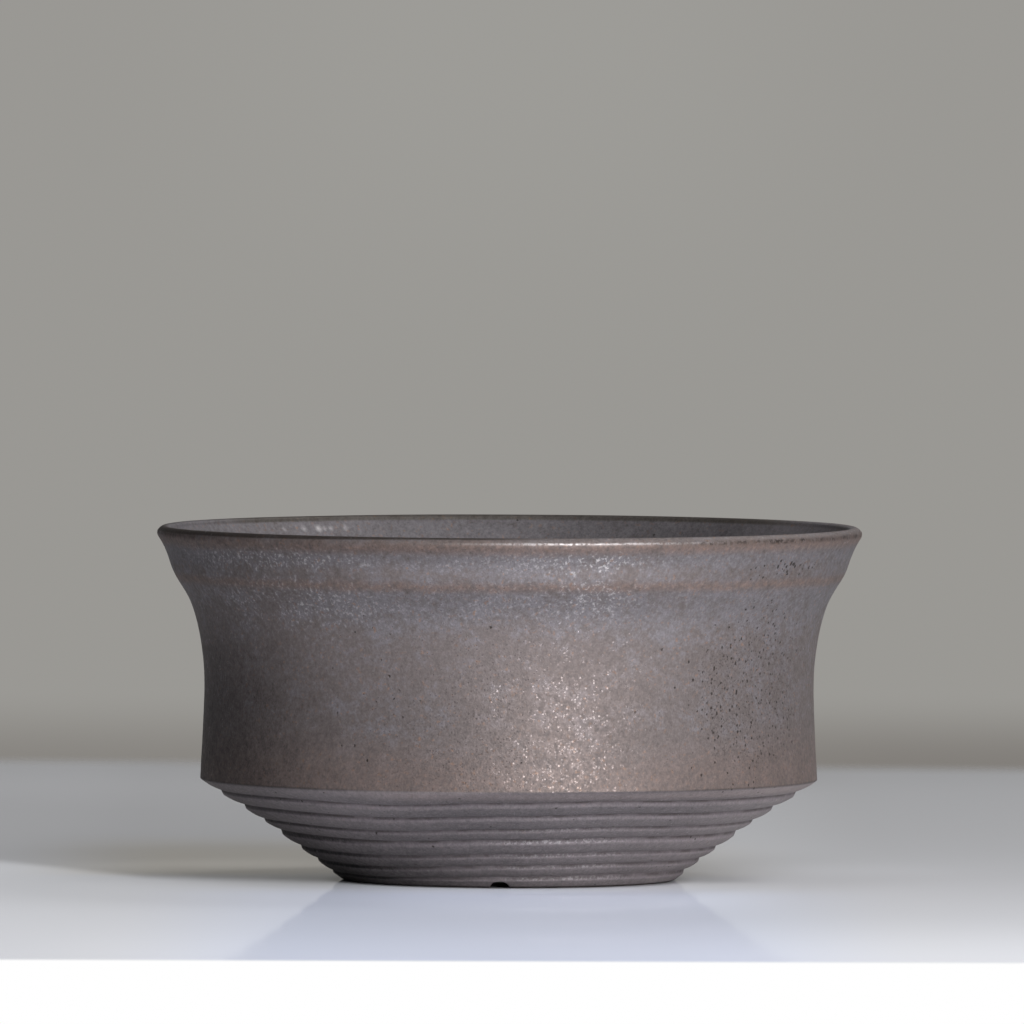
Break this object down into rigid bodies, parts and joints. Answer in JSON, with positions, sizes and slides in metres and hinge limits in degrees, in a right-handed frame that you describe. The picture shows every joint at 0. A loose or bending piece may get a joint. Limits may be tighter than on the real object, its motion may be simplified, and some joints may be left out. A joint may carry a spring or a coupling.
{
  "type": "flower pot",
  "caption": "Low round stoneware flower pot with a flared rim, a sharp-edged wall, a ringed cone down to a notched foot ring, and a drain hole.",
  "frame": {"origin": "centre of the foot, on the plane that the pot stands on", "axes": "+Z is the turning axis and points up to the rim, -Y is the front, and +X is to the right of someone who faces the front"},
  "size_m": [0.15, 0.15, 0.0752],
  "materials": {
    "bronze_glaze": "satin bronze glaze over dark stoneware, mottled blue-grey in its hollows and copper brown on its edges"
  },
  "bodies": {
    "root": {"pot": "bronze_glaze"}
  },
  "joints": []
}
